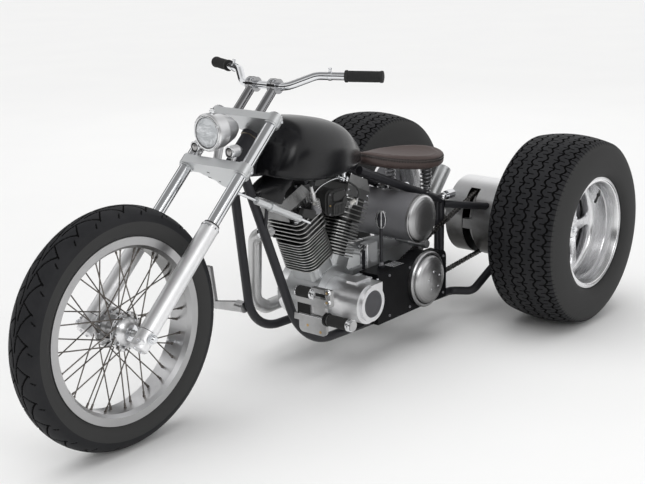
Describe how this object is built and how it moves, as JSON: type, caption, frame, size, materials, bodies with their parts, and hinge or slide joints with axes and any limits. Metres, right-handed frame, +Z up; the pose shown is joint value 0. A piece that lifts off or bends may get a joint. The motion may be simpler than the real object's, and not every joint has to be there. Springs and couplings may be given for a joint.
{
  "type": "motorized trike",
  "caption": "Rigid-frame motorized trike with a raked telescopic fork, laced front wheel, V-twin engine, chain drive and wide rear tyres.",
  "frame": {"origin": "on the floor, under the middle of the overall length and width", "axes": "+X forward, +Y to the rider's left, +Z up"},
  "size_m": [2.5358, 1.221, 1.0507],
  "materials": {
    "tyre_rubber": "matt black rubber",
    "polished_alloy": "polished",
    "satin_alloy": "satin",
    "cast_alloy": "as cast, lightly polished",
    "chrome": "mirror",
    "stainless": "brushed",
    "satin_black": "satin black paint",
    "gunmetal": "dark metallic",
    "saddle_leather": "dark brown glossy leather",
    "grip_rubber": "black rubber",
    "lamp_glass": "clear",
    "black_plastic": "black"
  },
  "bodies": {
    "chassis": {"axle_housing": "satin_alloy", "axle_shafts": "stainless", "cam_cover": "polished_alloy", "carburettor": "black_plastic", "clutch_cover": "polished_alloy", "crankcase": "cast_alloy", "cylinder_heads": "cast_alloy", "cylinders": "cast_alloy", "drive_chain": "stainless", "exhaust_pipes": "stainless", "foot_controls": "satin_alloy", "frame_backbone": "satin_black", "frame_crossmember": "satin_black", "frame_downtubes": "satin_black", "frame_lower_rails": "satin_black", "frame_rear_rails": "satin_black", "frame_seat_posts": "satin_black", "frame_seat_rails": "satin_black", "frame_struts": "satin_black", "fuel_tank": "satin_black", "fuel_tap": "chrome", "gearbox": "cast_alloy", "hand_shift_lever": "satin_black", "ignition_cover": "satin_black", "motor_plate": "satin_black", "oil_tank": "gunmetal", "oil_tank_cap": "polished_alloy", "primary_case": "satin_black", "pushrod_tubes": "chrome", "rail_end_fittings": "chrome", "rear_sprocket": "stainless", "rear_support_tube": "satin_alloy", "ring_housing": "satin_alloy", "rocker_boxes": "satin_alloy", "seat": "saddle_leather", "seat_springs": "chrome", "shifter_bracket": "satin_alloy"},
    "front_wheel": {"front_tyre": "tyre_rubber", "front_rim": "polished_alloy", "front_hub": "polished_alloy", "front_spokes": "stainless"},
    "steering": {"front_axle": "stainless", "fork_sliders": "satin_alloy", "fork_tubes": "chrome", "fork_caps": "polished_alloy", "lower_triple_tree": "polished_alloy", "upper_triple_tree": "polished_alloy", "handlebar_risers": "chrome", "handlebar": "chrome", "handlebar_grips": "grip_rubber", "headlight_shell": "satin_alloy", "headlight_lens": "lamp_glass", "marker_lamps": "satin_alloy"},
    "rear_wheel_left": {"rear_tyre_left": "tyre_rubber", "rear_rim_left": "polished_alloy"},
    "rear_wheel_right": {"rear_tyre_right": "tyre_rubber", "rear_rim_right": "polished_alloy"},
    "damper_body": {"damper_body": "satin_alloy"},
    "damper_rod": {"damper_rod": "chrome"}
  },
  "joints": [
    {"name": "steering_turn", "type": "hinge", "parent": "chassis", "child": "steering", "pos_m": [0.35909, 0, 0.7969], "axis": [-0.7266, 0, 0.6871], "range_deg": [-30, 30]},
    {"name": "front_wheel_spin", "type": "hinge", "parent": "steering", "child": "front_wheel", "pos_m": [0.90165, 0, 0.3664], "axis": [0, 1, 0], "continuous": true},
    {"name": "rear_wheel_left_spin", "type": "hinge", "parent": "chassis", "child": "rear_wheel_left", "pos_m": [-0.91335, 0.46, 0.3547], "axis": [0, 1, 0], "continuous": true},
    {"name": "rear_wheel_right_spin", "type": "hinge", "parent": "chassis", "child": "rear_wheel_right", "pos_m": [-0.91335, -0.46, 0.3547], "axis": [0, 1, 0], "continuous": true},
    {"name": "damper_swing", "type": "hinge", "parent": "chassis", "child": "damper_body", "pos_m": [0.33019, 0.10042, 0.63195], "axis": [-0.1624, 0.8926, 0.4207], "range_deg": [-6.29, 6.29]},
    {"name": "damper_stroke", "type": "slide", "parent": "damper_body", "child": "damper_rod", "axis": [0.8919, -0.0495, 0.4495], "range_m": [-0.04669, 0.04669]}
  ],
  "couplings": [
    {"joint": "damper_swing", "follows": "steering_turn", "ratio": 0.20567},
    {"joint": "damper_stroke", "follows": "steering_turn", "m_per_rad": -0.087416}
  ]
}
